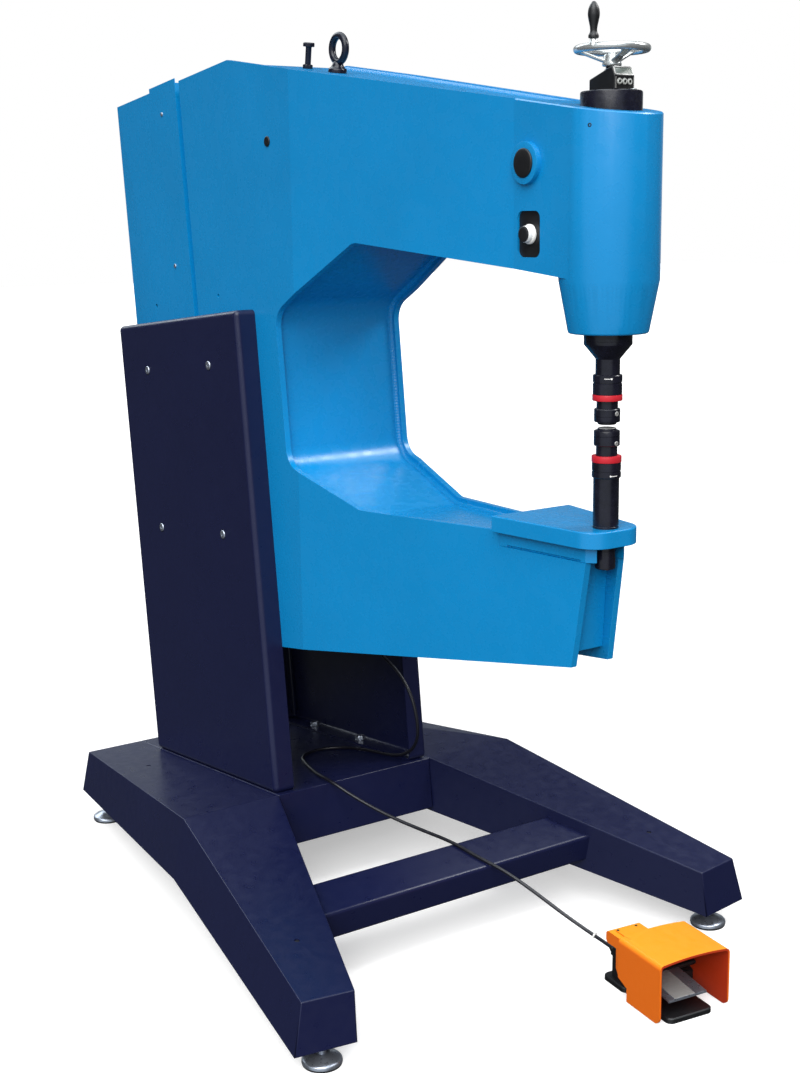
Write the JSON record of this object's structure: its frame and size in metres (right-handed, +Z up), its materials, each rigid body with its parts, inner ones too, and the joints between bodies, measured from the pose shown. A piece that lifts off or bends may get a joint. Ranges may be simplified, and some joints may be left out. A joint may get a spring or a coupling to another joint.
{
  "type": "sheet metal forming machine",
  "caption": "C-frame sheet metal former with deep throat, adjustable ram, quick-change tools, table, splayed stand with levelling feet and a foot switch on a cable.",
  "frame": {"origin": "on the floor, under the middle of the machine's bounding box", "axes": "+X forward to the tools, +Y to the machine's left, +Z up"},
  "size_m": [1.602, 1.0404, 1.7486],
  "materials": {
    "paint_blue": "satin textured blue paint",
    "paint_navy": "satin textured navy paint",
    "chrome": "bright plated steel",
    "steel": "machined steel",
    "black_steel": "blackened steel",
    "black_plastic": "black plastic",
    "red_ring": "red plastic",
    "white_plastic": "white plastic",
    "grey_plastic": "grey keys",
    "display_glass": "clear display window",
    "motor_paint": "grey enamel",
    "belt_rubber": "ribbed belt",
    "orange_plastic": "moulded orange plastic",
    "cable_jacket": "black cable jacket"
  },
  "bodies": {
    "machine": {"arm_end_plate": "paint_blue", "base_bolts": "chrome", "bottom_web": "paint_blue", "cable_gland": "black_plastic", "cheek_left": "paint_navy", "cheek_right": "paint_navy", "cheek_screws": "chrome", "cheek_spacers": "steel", "drive_belt": "belt_rubber", "drive_plate": "steel", "eye_bolt": "black_steel", "foot_cable": "cable_jacket", "foot_pads": "chrome", "foot_studs": "chrome", "front_cross_tube": "paint_navy", "front_web": "paint_blue", "guide_bush": "steel", "head_cap": "black_plastic", "head_housing": "paint_blue", "indicator_body": "black_plastic", "indicator_window": "display_glass", "leg_left": "paint_navy", "leg_right": "paint_navy", "lower_tool": "black_steel", "motor": "motor_paint", "mounting_rails": "steel", "pedal_base": "black_plastic", "pedal_hood": "orange_plastic", "rear_cover": "paint_blue", "rear_crossmember": "paint_navy", "selector_panel": "black_plastic", "shaft_bearings": "steel", "side_plate_left": "paint_blue", "side_plate_right": "paint_blue", "side_plugs": "black_plastic", "table_carrier": "paint_blue", "table_plate": "paint_blue", "throat_liner": "paint_blue", "tool_post": "black_steel", "top_collar": "black_steel", "top_tee_bolt": "black_steel", "top_web": "paint_blue"},
    "drive": {"drive_shaft": "steel", "driven_pulley": "steel"},
    "motor_rotor": {"motor_pulley": "steel"},
    "ram_slide": {"ram_slide": "steel"},
    "ram": {"ram": "black_steel", "upper_tool": "black_steel"},
    "upper_collar": {"upper_release_collar": "black_steel", "upper_red_ring": "red_ring"},
    "lower_collar": {"lower_release_collar": "black_steel", "lower_red_ring": "red_ring"},
    "handwheel": {"handwheel": "chrome"},
    "crank_handle": {"crank_handle": "black_plastic"},
    "selector_knob": {"selector_knob": "white_plastic"},
    "button_1": {"indicator_button_1": "grey_plastic"},
    "button_2": {"indicator_button_2": "grey_plastic"},
    "button_3": {"indicator_button_3": "grey_plastic"},
    "treadle": {"pedal_plate": "steel"}
  },
  "joints": [
    {"name": "drive_shaft_spin", "type": "hinge", "parent": "machine", "child": "drive", "pos_m": [0.021, 0, 1.44], "axis": [1, 0, 0], "continuous": true},
    {"name": "motor_spin", "type": "hinge", "parent": "machine", "child": "motor_rotor", "pos_m": [-0.479, 0, 1.13], "axis": [1, 0, 0], "continuous": true},
    {"name": "ram_stroke", "type": "slide", "parent": "machine", "child": "ram_slide", "axis": [0, 0, 1], "range_m": [-0.004, 0]},
    {"name": "handwheel_turn", "type": "hinge", "parent": "machine", "child": "handwheel", "pos_m": [0.721, 0, 1.6], "axis": [0, 0, 1], "range_deg": [0, 2880]},
    {"name": "die_height", "type": "slide", "parent": "ram_slide", "child": "ram", "axis": [0, 0, 1], "range_m": [0, 0.012]},
    {"name": "crank_handle_spin", "type": "hinge", "parent": "handwheel", "child": "crank_handle", "pos_m": [0.73667, -0.05126, 1.68], "axis": [0, 0, 1], "continuous": true},
    {"name": "upper_collar_release", "type": "slide", "parent": "ram", "child": "upper_collar", "axis": [0, 0, 1], "range_m": [0, 0.004], "stiffness_N_per_m": 1500, "springref_m": -0.002},
    {"name": "lower_collar_release", "type": "slide", "parent": "machine", "child": "lower_collar", "axis": [0, 0, 1], "range_m": [-0.004, 0], "stiffness_N_per_m": 1500, "springref_m": 0.004},
    {"name": "selector_turn", "type": "hinge", "parent": "machine", "child": "selector_knob", "pos_m": [0.6175, -0.08, 1.3665], "axis": [0, -1, 0], "range_deg": [-60, 60]},
    {"name": "button_1_press", "type": "slide", "parent": "machine", "child": "button_1", "axis": [-1, 0, 0], "range_m": [0, 0.001], "stiffness_N_per_m": 600, "springref_m": -0.001},
    {"name": "button_2_press", "type": "slide", "parent": "machine", "child": "button_2", "axis": [-1, 0, 0], "range_m": [0, 0.001], "stiffness_N_per_m": 600, "springref_m": -0.001},
    {"name": "button_3_press", "type": "slide", "parent": "machine", "child": "button_3", "axis": [-1, 0, 0], "range_m": [0, 0.001], "stiffness_N_per_m": 600, "springref_m": -0.001},
    {"name": "treadle_press", "type": "hinge", "parent": "machine", "child": "treadle", "pos_m": [0.69067, 0.17825, 0.046], "axis": [0.1184, 0.993, 0], "range_deg": [0, 10], "stiffness_Nm_per_rad": 3, "springref_deg": -11.46}
  ],
  "couplings": [
    {"joint": "motor_spin", "follows": "drive_shaft_spin", "ratio": 2.4444},
    {"joint": "handwheel_turn", "follows": "die_height", "rad_per_m": 4188.8}
  ]
}
